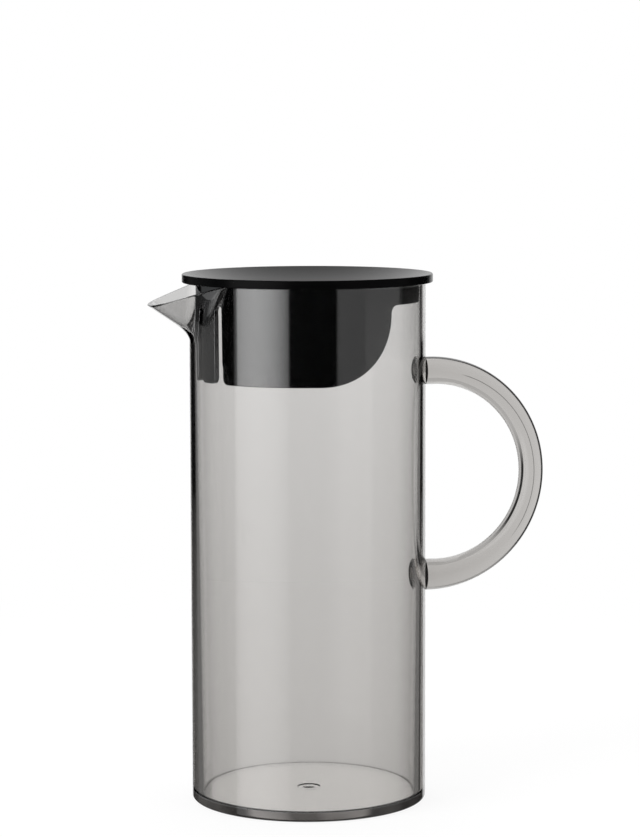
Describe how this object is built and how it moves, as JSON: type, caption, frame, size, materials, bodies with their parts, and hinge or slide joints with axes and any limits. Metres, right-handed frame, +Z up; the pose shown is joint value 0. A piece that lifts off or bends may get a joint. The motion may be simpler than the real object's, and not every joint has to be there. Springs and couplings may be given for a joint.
{
  "type": "jug with strainer lid",
  "caption": "Clear smoke-grey plastic jug with a pouring spout, a round loop handle and a black lift-out lid whose slotted skirt strains or shuts the spout.",
  "frame": {"origin": "centre of the flat underside, on the jug's axis", "axes": "+Z up along the jug's axis, +X towards the handle, -X towards the spout"},
  "size_m": [0.1803, 0.1112, 0.2358],
  "materials": {
    "smoke_clear": "clear smoke-tinted gloss",
    "black_matt": "fine matt texture",
    "black_gloss": "gloss"
  },
  "bodies": {
    "jug": {"jug_body": "smoke_clear", "handle": "smoke_clear"},
    "lid_cap": {"lid_cap": "black_matt"},
    "lid_strainer": {"lid_strainer": "black_gloss"}
  },
  "joints": [
    {"name": "lid_lift", "type": "slide", "parent": "jug", "child": "lid_cap", "axis": [0, 0, 1], "range_m": [0, 0.06]},
    {"name": "lid_turn", "type": "hinge", "parent": "lid_cap", "child": "lid_strainer", "pos_m": [0, 0, 0.232], "axis": [0, 0, 1], "continuous": true}
  ]
}
